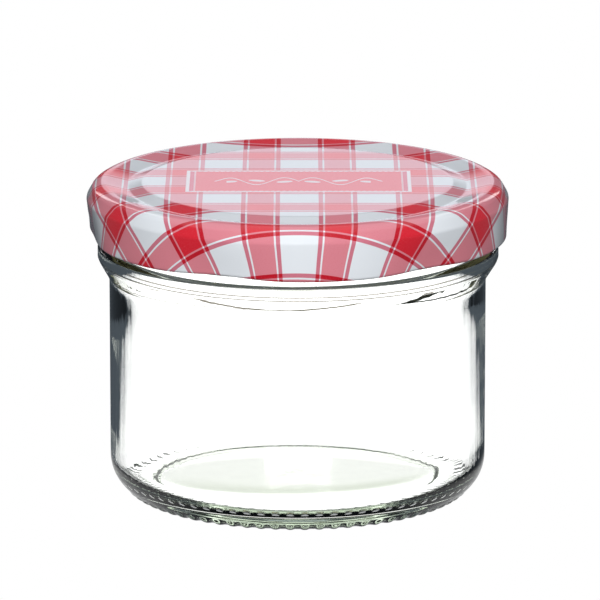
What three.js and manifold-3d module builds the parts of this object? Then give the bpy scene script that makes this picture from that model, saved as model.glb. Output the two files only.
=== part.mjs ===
// Squat straight-sided preserving jar of clear glass with a pressed twist-off lid, closed.
// Millimetres, +Z up, the base standing on z = 0 and the axis of the jar on Z.
import * as THREE from "three";
import { mergeVertices } from "three/addons/utils/BufferGeometryUtils.js";
import Module from "manifold-3d";

// Overall sizes
const BODY_RADIUS = 38.3;
const LID_RADIUS = 42.83;
const LID_TOP = 64.5;
const SEGMENTS = 72;
const ROUNDING_PER_STEP = 1.5;

// Glass base: a bearing ring around a shallow push-up, and a round heel
const HEEL_RADIUS = 7.6;
const BEARING_OUTER = BODY_RADIUS - HEEL_RADIUS;
const BEARING_INNER = BEARING_OUTER - 1.6;
const PUSH_UP_HEIGHT = 1.6;
const PUSH_UP_STEP = 1.35;
const FLOOR_THICKNESS = 3.4;
const FLOOR_SINK = 1.4;
const INNER_HEEL_RADIUS = 4.2;

// Glass wall, thicker towards the neck
const WALL_LOW = 1.3;
const WALL_HIGH = 2.9;
const WALL_THICKENS_FROM = 11;
const WALL_THICKENS_TO = 38;

// Glass neck: the shoulder flares into a carrying bead, and the neck rises to a round rim
const SHOULDER_FOOT = 44.9;
const BEAD_RADIUS = 40.75;
const BEAD_BOTTOM = 49;
const BEAD_TOP = 51.5;
const BEAD_TOP_RISE = 0.4;
const NECK_RADIUS = 38.9;
const MOUTH_RADIUS = 36.7;
const RIM_TOP = 63.4;
const RIM_ROUNDING = 1.15;

// Ribs around the bearing ring
const RIB_COUNT = 72;
const RIB_RADIUS = 0.62;
const RIB_LENGTH = 3.4;
const RIB_MIDDLE = BEARING_OUTER + 2.2;
const RIB_TILT = 0.22;

// Thread on the neck: one short rising ridge for each lug of the lid
const LUG_COUNT = 6;
const FIRST_LUG_ANGLE = -112;
const RIDGE_SPAN = 44;
const RIDGE_RISE = 2.1;
const RIDGE_HALF_HEIGHT = 0.85;
const RIDGE_DEPTH = 1.5;
const RIDGE_STEPS = 6;

// Pressed lid: flat panel, shallow valley, raised ring, sloped shoulder, skirt and curled edge
const SHEET = 0.3;
const PANEL_RADIUS = 31.2;
const PANEL_DROP = 0.22;
const VALLEY_RADIUS = 34.6;
const VALLEY_DROP = 1.05;
const CREST_RADIUS = 39.7;
const CREST_RISE = 0.1;
const SHOULDER_RADIUS = 41.6;
const SHOULDER_DROP = 0.95;
const SKIRT_START_DROP = 3.1;
const CURL_RADIUS = 0.72;
const LID_BOTTOM = 53.5;

// Lugs: flat tabs under the curled edge that reach below the thread
const LUG_WIDTH = 9;
const LUG_REACH = 39.9;
const LUG_THICKNESS = 0.9;
const LUG_GAP = 0.3;

const wasm = await Module();
wasm.setup();

const radians = THREE.MathUtils.degToRad;
const point = (r, z) => new THREE.Vector2(r, z);

// Replaces each corner that carries a rounding by an arc tangent to both its sides.
function roundCorners(corners) {
  const out = [];
  corners.forEach(([r, z, rounding], i) => {
    const here = point(r, z);
    if (!rounding) {
      out.push(here);
      return;
    }
    const before = point(...corners[i - 1].slice(0, 2));
    const after = point(...corners[i + 1].slice(0, 2));
    const back = before.clone().sub(here).normalize();
    const ahead = after.clone().sub(here).normalize();
    const half = Math.acos(THREE.MathUtils.clamp(back.dot(ahead), -1, 1)) / 2;
    const inward = back.clone().add(ahead).normalize();
    const centre = here.clone().addScaledVector(inward, rounding / Math.sin(half));
    const reach = rounding / Math.tan(half);
    const start = here.clone().addScaledVector(back, reach).sub(centre);
    const end = here.clone().addScaledVector(ahead, reach).sub(centre);
    const turn = Math.atan2(start.cross(end), start.dot(end));
    const steps = Math.max(2, Math.round(rounding / ROUNDING_PER_STEP));
    for (let k = 0; k <= steps; k++) {
      const step = start.clone().rotateAround(point(0, 0), (turn * k) / steps);
      out.push(step.add(centre));
    }
  });
  return out;
}

// Moves an open line of points sideways by a distance, keeping its sides parallel.
function offsetLine(points, distance) {
  return points.map((here, i) => {
    const before = points[Math.max(i - 1, 0)];
    const after = points[Math.min(i + 1, points.length - 1)];
    const inSide = here.clone().sub(before);
    const outSide = after.clone().sub(here);
    if (inSide.lengthSq() === 0) inSide.copy(outSide);
    if (outSide.lengthSq() === 0) outSide.copy(inSide);
    const a = inSide.normalize();
    const b = outSide.normalize();
    const across = point(a.y + b.y, -(a.x + b.x)).normalize();
    const stretch = across.dot(point(a.y, -a.x));
    return here.clone().addScaledVector(across, distance / stretch);
  });
}

// Turns a closed line of radius and height around Z into a surface that faces outwards.
function turned(profile) {
  const geometry = new THREE.LatheGeometry(profile, SEGMENTS);
  return geometry.rotateX(Math.PI / 2);
}

function solidOf(geometry) {
  const bare = geometry.clone();
  bare.deleteAttribute("normal");
  bare.deleteAttribute("uv");
  const merged = mergeVertices(bare, 1e-4);
  return new wasm.Manifold(
    new wasm.Mesh({
      numProp: 3,
      vertProperties: merged.attributes.position.array,
      triVerts: new Uint32Array(merged.index.array),
    }),
  );
}

function geometryOf(solid) {
  const mesh = solid.getMesh();
  const geometry = new THREE.BufferGeometry();
  geometry.setAttribute("position", new THREE.BufferAttribute(mesh.vertProperties, 3));
  geometry.setIndex(new THREE.BufferAttribute(mesh.triVerts, 1));
  geometry.computeVertexNormals();
  return geometry;
}

// The glass section, up the outside from the middle of the base and back down the inside.
function glassProfile() {
  const floorEdge = BODY_RADIUS - WALL_LOW - INNER_HEEL_RADIUS;
  const floorTop = PUSH_UP_HEIGHT + FLOOR_THICKNESS;
  const outside = [
    [0, PUSH_UP_HEIGHT],
    [BEARING_INNER - 1.5, PUSH_UP_STEP, 1],
    [BEARING_INNER, 0],
    [BEARING_OUTER, 0],
    [BODY_RADIUS, 0, HEEL_RADIUS - 0.01],
    [BODY_RADIUS, SHOULDER_FOOT, 2],
    [BEAD_RADIUS, BEAD_BOTTOM, 2.4],
    [BEAD_RADIUS, BEAD_TOP, 0.5],
    [NECK_RADIUS, BEAD_TOP + BEAD_TOP_RISE],
    [NECK_RADIUS, RIM_TOP, RIM_ROUNDING],
  ];
  const inside = [
    [MOUTH_RADIUS, RIM_TOP, RIM_ROUNDING],
    [MOUTH_RADIUS, BEAD_TOP - 1],
    [BODY_RADIUS - WALL_HIGH, WALL_THICKENS_TO],
    [BODY_RADIUS - WALL_LOW, WALL_THICKENS_FROM],
    [BODY_RADIUS - WALL_LOW, floorTop - FLOOR_SINK, INNER_HEEL_RADIUS],
    [floorEdge * 0.6, floorTop - FLOOR_SINK * 0.5],
    [0, floorTop],
  ];
  return roundCorners([...outside, ...inside]);
}

function lugAngles() {
  return Array.from({ length: LUG_COUNT }, (_, i) => FIRST_LUG_ANGLE + (360 / LUG_COUNT) * i);
}

const lugTop = LID_BOTTOM + CURL_RADIUS + LUG_THICKNESS / 2;

// One bar of the knurl lies across the bearing ring and follows the start of the heel.
function rib(index) {
  const geometry = new THREE.CylinderGeometry(RIB_RADIUS, RIB_RADIUS, RIB_LENGTH, 6);
  geometry.rotateZ(Math.PI / 2 + RIB_TILT);
  geometry.rotateX(Math.PI / 2);
  const sink = RIB_RADIUS * 0.35;
  geometry.translate(RIB_MIDDLE, 0, RIB_RADIUS + sink);
  return geometry.rotateZ(((index + 0.5) * 2 * Math.PI) / RIB_COUNT);
}

// A thread ridge starts above its lug and climbs along the neck.
function ridge(angle) {
  const path = [];
  for (let k = 0; k <= RIDGE_STEPS; k++) {
    const turn = radians(angle - 10 + (RIDGE_SPAN * k) / RIDGE_STEPS);
    const height = lugTop + LUG_GAP + RIDGE_HALF_HEIGHT + (RIDGE_RISE * k) / RIDGE_STEPS;
    path.push(new THREE.Vector3(NECK_RADIUS * Math.cos(turn), NECK_RADIUS * Math.sin(turn), height));
  }
  const section = new THREE.Shape();
  section.absellipse(0, 0, RIDGE_HALF_HEIGHT, RIDGE_DEPTH, 0, 2 * Math.PI);
  return new THREE.ExtrudeGeometry(section, {
    curveSegments: 4,
    steps: RIDGE_STEPS,
    extrudePath: new THREE.CatmullRomCurve3(path),
    bevelEnabled: false,
  });
}

function glassSolid() {
  let solid = solidOf(turned(glassProfile()));
  const below = solidOf(new THREE.BoxGeometry(100, 100, 10).translate(0, 0, -5));
  for (let i = 0; i < RIB_COUNT; i++) solid = solid.add(solidOf(rib(i)));
  solid = solid.subtract(below);
  const mouth = solidOf(
    new THREE.CylinderGeometry(MOUTH_RADIUS + 0.6, MOUTH_RADIUS + 0.6, 20, 48)
      .rotateX(Math.PI / 2)
      .translate(0, 0, RIM_TOP),
  );
  for (const angle of lugAngles()) {
    solid = solid.add(solidOf(ridge(angle)).subtract(mouth));
  }
  return solid;
}

// The outer face of the lid from its middle to the foot of the skirt.
function lidFace() {
  const corners = [
    [0, LID_TOP - PANEL_DROP],
    [PANEL_RADIUS, LID_TOP - PANEL_DROP],
    [VALLEY_RADIUS, LID_TOP - VALLEY_DROP],
    [CREST_RADIUS, LID_TOP + CREST_RISE, 1.2],
    [SHOULDER_RADIUS, LID_TOP - SHOULDER_DROP, 2],
    [LID_RADIUS, LID_TOP - SKIRT_START_DROP, 1.6],
    [LID_RADIUS, LID_BOTTOM + 2 * CURL_RADIUS],
  ];
  return roundCorners(corners);
}

// The curled edge is a round bead inside the foot of the skirt.
function curl() {
  const steps = 5;
  const middle = point(LID_RADIUS - CURL_RADIUS, LID_BOTTOM + CURL_RADIUS);
  return Array.from({ length: steps }, (_, k) => {
    const turn = radians(-230 * (k / (steps - 1)));
    return point(middle.x + CURL_RADIUS * Math.cos(turn), middle.y + CURL_RADIUS * Math.sin(turn));
  });
}

function lug(angle) {
  const half = LUG_WIDTH / 2 / LID_RADIUS;
  const outer = LID_RADIUS - CURL_RADIUS;
  const shape = new THREE.Shape();
  shape.absarc(0, 0, outer, -half, half, false);
  shape.absarc(0, 0, LUG_REACH, half * 0.85, -half * 0.85, true);
  const geometry = new THREE.ExtrudeGeometry(shape, {
    depth: LUG_THICKNESS,
    curveSegments: 4,
    bevelEnabled: false,
  });
  return geometry.translate(0, 0, lugTop - LUG_THICKNESS).rotateZ(radians(angle));
}

function lidSolid() {
  const face = lidFace();
  const inner = offsetLine(face, SHEET).reverse();
  inner[inner.length - 1].x = 0;
  inner[0].y += CURL_RADIUS * 0.6;
  const loop = [...face, ...curl(), ...inner];
  let solid = solidOf(turned(loop.reverse()));
  for (const angle of lugAngles()) solid = solid.add(solidOf(lug(angle)));
  return solid;
}

function piece(name, solid, look) {
  const mesh = new THREE.Mesh(geometryOf(solid), new THREE.MeshStandardMaterial(look));
  mesh.name = name;
  return mesh;
}

const jar = new THREE.Group();
jar.name = "preserving_jar";
jar.add(
  piece("jar_glass", glassSolid(), {
    color: 0xdde8df,
    roughness: 0.04,
    metalness: 0,
    transparent: true,
    opacity: 0.4,
  }),
  piece("lid", lidSolid(), { color: 0xd8505c, roughness: 0.25, metalness: 0.3 }),
);

export default jar;
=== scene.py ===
"""A squat preserving jar of clear glass with a printed twist-off lid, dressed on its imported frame.

Everything is in metres, +Z up, with the jar's axis on Z and its base on z = 0. The front is -Y.
Sizes are written in millimetres through MM, so that they can be read against the real jar.
"""

import logging
from collections.abc import Mapping, Sequence
from dataclasses import dataclass, field
from enum import Enum
from typing import Union

import bpy
import numpy as np
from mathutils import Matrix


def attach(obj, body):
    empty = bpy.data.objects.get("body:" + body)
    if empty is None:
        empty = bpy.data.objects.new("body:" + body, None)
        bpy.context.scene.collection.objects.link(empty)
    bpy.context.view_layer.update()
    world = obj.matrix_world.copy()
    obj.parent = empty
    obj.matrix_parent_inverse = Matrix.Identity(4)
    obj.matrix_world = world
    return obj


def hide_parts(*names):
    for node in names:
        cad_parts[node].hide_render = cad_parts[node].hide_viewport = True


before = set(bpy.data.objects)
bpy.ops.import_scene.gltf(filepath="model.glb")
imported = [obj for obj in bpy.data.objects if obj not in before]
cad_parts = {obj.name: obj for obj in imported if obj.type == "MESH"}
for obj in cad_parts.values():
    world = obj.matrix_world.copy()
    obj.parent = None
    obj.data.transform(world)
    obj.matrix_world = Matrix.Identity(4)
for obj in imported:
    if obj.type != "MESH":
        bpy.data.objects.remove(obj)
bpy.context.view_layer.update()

LOG = logging.getLogger("preserving_jar")
MM = 0.001
TURN = 2 * np.pi
FRONT = -np.pi / 2

Array = np.ndarray
Colour = tuple[float, float, float]
Span = tuple[float, float]

WHITE: Colour = (1.0, 1.0, 1.0)
NOWHERE: Span = (2.0, 3.0)


class Body(Enum):
    """The bodies of the frame."""

    ROOT = "root"


class Node(Enum):
    """The frame's nodes that the pieces stand for."""

    GLASS = "jar_glass"
    LID = "lid"


class Slot(Enum):
    """The record's material slots."""

    GLASS = "glass"
    LID = "lid"


def linear(red: int, green: int, blue: int) -> Colour:
    """Turns a colour read off a screen, 0 to 255, into the light that it stands for.

    Args:
        red: the red part.
        green: the green part.
        blue: the blue part.

    Returns:
        The light of each part, 0 to 1.
    """
    shown = np.array([red, green, blue]) / 255
    low = shown / 12.92
    high = ((shown + 0.055) / 1.055) ** 2.4
    return tuple(float(part) for part in np.where(shown <= 0.04045, low, high))


def smooth_rise(position: Array, start: float, end: float) -> Array:
    """Runs from 0 at start to 1 at end along the curve 3t^2 - 2t^3, flat at both ends."""
    part = np.clip((position - start) / (end - start), 0, 1)
    return part * part * (3 - 2 * part)


def turn_between(azimuth: Array, centre: float) -> Array:
    """Gives the signed angle from centre to azimuth, the short way round."""
    return (azimuth - centre + np.pi) % TURN - np.pi


# Sections: lines of radius and height, carried round the axis


def rounded_line(
    corners: Sequence[tuple[float, float]], roundings: Sequence[float], step: float
) -> Array:
    """Replaces each corner that has a rounding by an arc tangent to both its sides.

    For an angle of 2h between the sides, the arc starts rounding / tan(h) from the corner, and its
    centre lies rounding / sin(h) from it along the line that halves the angle.

    Args:
        corners: radius and height of each corner.
        roundings: radius of each corner's arc, 0 for a sharp one.
        step: the longest step along an arc.

    Returns:
        Points of the line, one row each for radius and height.
    """
    table = np.array(corners, dtype=float)
    runs = []
    for number, rounding in enumerate(roundings):
        here = table[number]
        if rounding == 0:
            runs.append(here[None])
            continue
        back = table[number - 1] - here
        ahead = table[number + 1] - here
        back /= np.linalg.norm(back)
        ahead /= np.linalg.norm(ahead)
        half = np.arccos(np.clip(back @ ahead, -1, 1)) / 2
        sweep = np.pi - 2 * half
        middle = here + (back + ahead) / np.linalg.norm(back + ahead) * rounding / np.sin(half)
        first = here + back * rounding / np.tan(half) - middle
        last = here + ahead * rounding / np.tan(half) - middle
        share = np.linspace(0, 1, max(3, int(np.ceil(rounding * sweep / step)) + 1))[:, None]
        weights = np.sin((1 - share) * sweep) * first + np.sin(share * sweep) * last
        runs.append(middle + weights / np.sin(sweep))
    return without_repeats(np.concatenate(runs))


def without_repeats(points: Array) -> Array:
    """Drops each point of a line that lies on the one before it."""
    apart = np.linalg.norm(np.diff(points, axis=0), axis=1) > 1e-4
    return points[np.concatenate([[True], apart])]


def filled_line(points: Array, spacing: Array) -> Array:
    """Adds points between those of a line, so that no step is longer than its spacing.

    Args:
        points: the line's points.
        spacing: the longest step allowed in each stretch between two points.

    Returns:
        The line with the points added.
    """
    along = np.diff(points, axis=0)
    counts = np.maximum(1, np.ceil(np.linalg.norm(along, axis=1) / spacing)).astype(int)
    stretch = np.repeat(np.arange(len(along)), counts)
    number = np.arange(counts.sum()) - np.repeat(np.cumsum(counts) - counts, counts)
    share = (number / counts[stretch])[:, None]
    return np.concatenate([points[stretch] + share * along[stretch], points[-1:]])


def distance_along(points: Array) -> Array:
    """Gives each point's distance from the first one, measured along the line."""
    return np.concatenate([[0], np.cumsum(np.linalg.norm(np.diff(points, axis=0), axis=1))])


def sideways(points: Array) -> Array:
    """Gives the unit direction to the right of the way the line runs, at each point.

    Args:
        points: the line's points.

    Returns:
        One direction for each point.
    """
    along = np.gradient(points, axis=0)
    across = np.stack([along[:, 1], -along[:, 0]], axis=1)
    return across / np.linalg.norm(across, axis=1)[:, None]


def wrapped_faces(rings: int, columns: int) -> tuple[Array, Array]:
    """Joins rings of points with quads and closes both poles with fans of triangles.

    Args:
        rings: how many rings lie between the first point and the last one, the poles.
        columns: how many points each ring has.

    Returns:
        The quads, and the triangles of the first fan and of the last one.
    """
    number = 1 + np.arange(rings * columns).reshape(rings, columns)
    beside = np.roll(number, -1, axis=1)
    quads = np.stack([number[:-1], beside[:-1], beside[1:], number[1:]], axis=2)
    first = np.stack([np.zeros(columns, int), beside[0], number[0]], axis=1)
    top = np.full(columns, 1 + rings * columns)
    last = np.stack([top, number[-1], beside[-1]], axis=1)
    return quads.reshape(-1, 4), np.concatenate([first, last])


def turned_over(faces: Array) -> Array:
    """Lets faces look the other way, with each one's first corner kept."""
    return np.concatenate([faces[:, :1], faces[:, :0:-1]], axis=1)


@dataclass
class TurnedSurface:
    """A closed surface: a section carried round the axis from one pole to the other.

    The point at ring i and azimuth j is (r cos a, r sin a, z), with r and z from the arrays.

    Attributes:
        name: the piece's name.
        radius: radius of each point, one row for each ring.
        height: height of each point, in the same layout.
        azimuth: the angle of each column.
        poles: heights of the first and the last point, which lie on the axis.
        finishes: materials of the piece.
        finish_of_ring: which material the faces that start at each ring take.
        sheet: place of each point on a flat pattern, or None.
        sheet_poles: places of the first and the last point on that pattern.
    """

    name: str
    radius: Array
    height: Array
    azimuth: Array
    poles: tuple[float, float]
    finishes: Sequence[bpy.types.Material]
    finish_of_ring: Array
    sheet: Union[Array, None] = None
    sheet_poles: tuple[tuple[float, float], tuple[float, float]] = ((0.5, 0.5), (0.5, 0.5))

    def points(self) -> Array:
        """Lists all points: the first pole, ring after ring, and the last pole.

        Returns:
            One row of x, y and z for each point.
        """
        grid = np.stack(
            [
                self.radius * np.cos(self.azimuth),
                self.radius * np.sin(self.azimuth),
                self.height,
            ],
            axis=2,
        )
        ends = np.array([[[0, 0, pole]] for pole in self.poles], dtype=float)
        return np.concatenate([ends[0], grid.reshape(-1, 3), ends[1]])

    def build(self) -> bpy.types.Object:
        """Makes the mesh, shades it smooth and links it to the scene.

        Returns:
            The new object, at the origin.
        """
        quads, fans = wrapped_faces(*self.radius.shape)
        mesh = bpy.data.meshes.new(self.name)
        mesh.from_pydata(self.points().tolist(), [], quads.tolist() + fans.tolist())
        columns = self.radius.shape[1]
        of_quads = np.repeat(self.finish_of_ring[:-1], columns)
        of_fans = np.repeat(self.finish_of_ring[[0, -1]], columns)
        of_faces = np.concatenate([of_quads, of_fans]).astype(np.int32)
        mesh.polygons.foreach_set("material_index", of_faces)
        mesh.polygons.foreach_set("use_smooth", np.ones(len(mesh.polygons), dtype=bool))
        for finish in self.finishes:
            mesh.materials.append(finish)
        if self.sheet is not None:
            self.lay_flat(mesh)
        mesh.update()
        return linked(self.name, mesh)

    def lay_flat(self, mesh: bpy.types.Mesh) -> None:
        """Gives the mesh the map that its print is laid out on.

        Args:
            mesh: the mesh, with its faces made.
        """
        ends = np.array(self.sheet_poles)[:, None]
        places = np.concatenate([ends[0], self.sheet.reshape(-1, 2), ends[1]])
        corner = np.empty(len(mesh.loops), dtype=np.int32)
        mesh.loops.foreach_get("vertex_index", corner)
        layer = mesh.uv_layers.new(name=FLAT_SHEET)
        layer.uv.foreach_set("vector", places[corner].astype(np.float32).ravel())


def linked(name: str, data: bpy.types.ID) -> bpy.types.Object:
    """Makes an object at the origin and links it to the scene.

    Args:
        name: the object's name.
        data: the mesh, lamp or camera that it holds.

    Returns:
        The new object.
    """
    made = bpy.data.objects.new(name, data)
    bpy.context.scene.collection.objects.link(made)
    return made


def fit(piece: bpy.types.Object, node: Node) -> None:
    """Lets a piece ride on the jar's body and stand for its node, whose imported part is hidden.

    Args:
        piece: the piece.
        node: the node that it stands for.
    """
    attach(piece, Body.ROOT.value)
    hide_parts(node.value)


# Shader maths: numbers that vary over a surface, written as expressions

Number = Union[float, "Value"]


class Value:
    """A number or colour that varies over a surface, with the arithmetic of plain numbers."""

    def __init__(self, bench: "Bench", socket: bpy.types.NodeSocket) -> None:
        """Wraps one output of a node."""
        self.bench = bench
        self.socket = socket

    def maths(self, operation: str, *others: Number) -> "Value":
        """Adds a Math node with this value as its first number."""
        sockets = dict(enumerate((self, *others)))
        return self.bench.node("ShaderNodeMath", {"operation": operation}, sockets)

    def __add__(self, other: Number) -> "Value":
        """Adds."""
        return self.maths("ADD", other)

    __radd__ = __add__

    def __mul__(self, other: Number) -> "Value":
        """Multiplies."""
        return self.maths("MULTIPLY", other)

    __rmul__ = __mul__

    def __sub__(self, other: Number) -> "Value":
        """Subtracts a number from this one."""
        return self.maths("SUBTRACT", other)

    def __rsub__(self, other: float) -> "Value":
        """Subtracts this number from a plain one."""
        return self * -1 + other

    def __truediv__(self, other: float) -> "Value":
        """Divides by a plain number."""
        return self * (1 / other)

    def __abs__(self) -> "Value":
        """Drops the sign."""
        return self.maths("ABSOLUTE")

    def fraction(self) -> "Value":
        """Keeps what follows the point."""
        return self.maths("FRACT")

    def sine(self) -> "Value":
        """Takes the sine."""
        return self.maths("SINE")

    def root(self) -> "Value":
        """Takes the square root."""
        return self.maths("SQRT")

    def greater(self, other: Number) -> "Value":
        """Keeps the greater of two numbers."""
        return self.maths("MAXIMUM", other)

    def rise(self, start: float, end: float) -> "Value":
        """Runs from 0 at start to 1 at end."""
        sockets = {"Value": self, "From Min": start, "From Max": end}
        return self.bench.node("ShaderNodeMapRange", {"interpolation_type": "SMOOTHSTEP"}, sockets)

    def over(self, limit: float, soft: float) -> "Value":
        """Gives 0 up to the limit and 1 past it, with an edge as wide as soft."""
        return self.rise(limit, limit + soft)

    def reaches(self, count: int) -> "Value":
        """Gives 1 where a whole number has reached the count, and 0 below it."""
        return self.rise(count - 0.6, count - 0.4)

    def between(self, start: Span, end: Span) -> "Value":
        """Rises from 0 to 1 over the start and falls back to 0 over the end."""
        return self.rise(*start) * (1 - self.rise(*end))

    def part(self, axis: int) -> "Value":
        """Takes one coordinate out of a place or a direction."""
        return self.bench.node("ShaderNodeSeparateXYZ", None, {0: self}, axis)

    def under(self, limit: float, soft: float) -> "Value":
        """Gives 1 below the limit and 0 above it, with an edge as wide as soft."""
        return 1 - self.rise(limit - soft / 2, limit + soft / 2)


@dataclass
class Bench:
    """The node tree of a material or a world, with one way to add a node to it."""

    tree: bpy.types.NodeTree

    def node(
        self,
        kind: str,
        settings: Union[Mapping, None] = None,
        sockets: Union[Mapping, None] = None,
        output: Union[int, str] = 0,
    ) -> Value:
        """Adds a node, first with its settings and then with its sockets' values or links.

        Args:
            kind: the node's type.
            settings: its properties.
            sockets: what each input holds, by name or number: a Value, a number or a colour.
            output: the output to give back.

        Returns:
            The node's output.
        """
        made = self.tree.nodes.new(kind)
        for name, setting in (settings or {}).items():
            setattr(made, name, setting)
        for name, given in (sockets or {}).items():
            self.feed(made.inputs[name], given)
        return Value(self, made.outputs[output] if made.outputs else None)

    def feed(self, socket: bpy.types.NodeSocket, given: Union[Number, Colour]) -> None:
        """Links a Value to a socket, or sets a plain number or colour on it."""
        if isinstance(given, Value):
            self.tree.links.new(given.socket, socket)
        elif isinstance(given, tuple) and socket.type == "RGBA":
            socket.default_value = (*given, 1)
        else:
            socket.default_value = given

    def mix(
        self, share: Number, below: Union[Value, Colour], above: Union[Value, Colour]
    ) -> Value:
        """Lays one colour over another by a share from 0 to 1."""
        sockets = {"Factor": share, 6: below, 7: above}
        return self.node("ShaderNodeMix", {"data_type": "RGBA"}, sockets, 2)

    def noise(self, place: Value, scale: float, detail: float = 2) -> Value:
        """Gives soft noise around 0.5 with a number of grains to each unit."""
        sockets = {"Vector": place, "Scale": scale, "Detail": detail}
        return self.node("ShaderNodeTexNoise", None, sockets)

    def place(self) -> Value:
        """Gives the place in the piece's own coordinates."""
        return self.node("ShaderNodeTexCoord", output="Object")

    def distance(self, place: Value) -> Value:
        """Gives how far a place lies from the origin."""
        return self.node("ShaderNodeVectorMath", {"operation": "LENGTH"}, {0: place}, "Value")

    def relief(self, strength: float, height: float, pattern: Value) -> Value:
        """Gives the normal of a surface whose pattern stands up by a height."""
        sockets = {"Strength": strength, "Distance": height, "Height": pattern}
        return self.node("ShaderNodeBump", None, sockets)

    def surface(self, sockets: Mapping) -> Value:
        """Adds the surface shader and joins it to the material's output.

        Args:
            sockets: the shader's inputs.

        Returns:
            The shader.
        """
        shader = self.node("ShaderNodeBsdfPrincipled", None, sockets)
        self.node("ShaderNodeOutputMaterial", None, {"Surface": shader})
        return shader


def new_bench(name: str) -> tuple[bpy.types.Material, Bench]:
    """Makes an empty node material.

    Args:
        name: the material's name.

    Returns:
        The material and its bench.
    """
    material = bpy.data.materials.new(name)
    material.use_nodes = True
    material.node_tree.nodes.clear()
    return material, Bench(material.node_tree)


# Finishes


@dataclass(frozen=True)
class ClearGlass:
    """Clear container glass with the faint green of a little iron, a gently uneven surface, and a
    painted dark line of shade along the mould's seam.

    Attributes:
        bend: how strongly it refracts.
        tint: colour that white light keeps in thick glass.
        depth: how fast the tint builds up, for a metre.
        ripple_scale: ripples to a metre.
        ripple_height: height of the ripples.
        seam_level: height of the fine parting line of the mould, which is drawn as a line of painted
            shade.
        seam_half_width: half the width of that painted line.
        seam_painted_shade: colour of the painted shade, what is left of the light that the seam
            turns away.
    """

    name: str = "clear_glass"
    bend: float = 1.52
    tint: Colour = (0.70, 0.86, 0.62)
    depth: float = 10.5
    ripple_scale: float = 170.0
    ripple_height: float = 0.010 * MM
    seam_level: float = 49.3 * MM
    seam_half_width: float = 0.11 * MM
    seam_painted_shade: Colour = (0.10, 0.085, 0.07)

    def material(self) -> bpy.types.Material:
        """Makes the material: ripples are soft noise in the jar's own coordinates.

        Returns:
            The material.
        """
        material, bench = new_bench(self.name)
        place = bench.place()
        ripple = bench.noise(place, self.ripple_scale, 1.0)
        # Painted shade: the base colour darkens along the seam's line, for the light that the seam
        # turns away.
        seam = abs(place.part(2) - self.seam_level)
        seam = seam.under(self.seam_half_width, self.seam_half_width)
        shader = bench.node(
            "ShaderNodeBsdfPrincipled",
            None,
            {
                "Base Color": bench.mix(seam, WHITE, self.seam_painted_shade),
                "Roughness": 0.0,
                "IOR": self.bend,
                "Transmission Weight": 1.0,
                "Normal": bench.relief(1.0, self.ripple_height, ripple),
            },
        )
        body = bench.node(
            "ShaderNodeVolumeAbsorption", None, {"Color": self.tint, "Density": self.depth}
        )
        bench.node("ShaderNodeOutputMaterial", None, {"Surface": shader, "Volume": body})
        return material


FLAT_SHEET = "flat_sheet"


@dataclass(frozen=True)
class Gingham:
    """The checked print: equal bands and gaps both ways, each band with two light pin lines.

    All sizes are in millimetres on the flat sheet, before it is pressed.

    Attributes:
        period: from one band to the next.
        across_shift: how far the middle of the print lies to the right.
        pin_inset: from a band's edge to its pin line.
        pin_width: width of a pin line.
        edge: softness of the print's edges.
        grain: size of the printed weave.
        thread_depth: how much the weave's threads change the ink.
        speck_scale: specks to a millimetre.
        speck_depth: how much the specks change the ink.
        weave_span: how far the weave has to change the ink to show, and to show in full.
        lighter: share of lighter ink where the weave is light.
        darker: share of darker ink where it is dark.
    """

    period: float = 15.5
    across_shift: float = 0.35
    along_shift: float = 0.05
    pin_inset: float = 1.06
    pin_width: float = 0.38
    edge: float = 0.07
    grain: float = 0.34
    thread_depth: float = 0.16
    speck_scale: float = 3.4
    speck_depth: float = 1.5
    weave_span: Span = (0.0, 0.9)
    lighter: float = 0.4
    darker: float = 0.34
    ground: Colour = linear(233, 238, 243)
    single: Colour = linear(222, 134, 146)
    single_edge: Colour = linear(208, 120, 137)
    crossing: Colour = linear(216, 34, 50)
    crossing_edge: Colour = linear(192, 16, 36)

    def stripes(self, place: Value, shift: float) -> tuple[Value, Value]:
        """Draws the bands that follow one of the two directions.

        The distance to the middle of the nearest band is |fraction(place / period) - 1/2| periods.

        Args:
            place: distance across the bands.
            shift: where the middle of a gap lies.

        Returns:
            The ink of the bands without their pin lines, and the strips outside the pin lines.
        """
        away = abs(((place - shift) / self.period).fraction() - 0.5) * self.period
        half = self.period / 4
        pin = half - self.pin_inset
        band = away.under(half, self.edge)
        line = abs(away - pin).under(self.pin_width / 2, self.edge)
        ink = band * (1 - line)
        return ink, ink * away.over(pin, self.edge)

    def colour(self, bench: Bench, across: Value, along: Value, place: Value) -> Value:
        """Lays both sets of bands over the ground.

        Args:
            bench: the material's bench.
            across: distance to the right on the sheet.
            along: distance towards the back on the sheet.
            place: both together, for the weave.

        Returns:
            The colour of the print.
        """
        down, down_edge = self.stripes(across, self.across_shift)
        over, over_edge = self.stripes(along, self.along_shift)
        strip = down_edge.greater(over_edge)
        one = bench.mix(strip, self.single, self.single_edge)
        both = bench.mix(strip, self.crossing, self.crossing_edge)
        print_ = bench.mix(down.greater(over), self.ground, one)
        print_ = bench.mix(down * over, print_, both)
        return self.woven(bench, print_, down.greater(over), across, along, place)

    def woven(
        self, bench: Bench, print_: Value, ink: Value, across: Value, along: Value, place: Value
    ) -> Value:
        """Breaks the ink up into the fine weave that is printed in it.

        Args:
            bench: the material's bench.
            print_: the colour of the print.
            ink: 1 where there is ink.
            across: distance to the right on the sheet.
            along: distance towards the back on the sheet.
            place: both together, for the specks.

        Returns:
            The colour with the weave.
        """
        pitch = TURN / self.grain
        threads = (across * pitch).sine() * (along * pitch).sine()
        speck = (bench.noise(place, self.speck_scale) - 0.5) * self.speck_depth
        weave = (threads * self.thread_depth + speck) * ink
        light = weave.rise(*self.weave_span) * self.lighter
        dark = (weave * -1).rise(*self.weave_span) * self.darker
        return bench.mix(dark, bench.mix(light, print_, self.single), self.crossing_edge)


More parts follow.
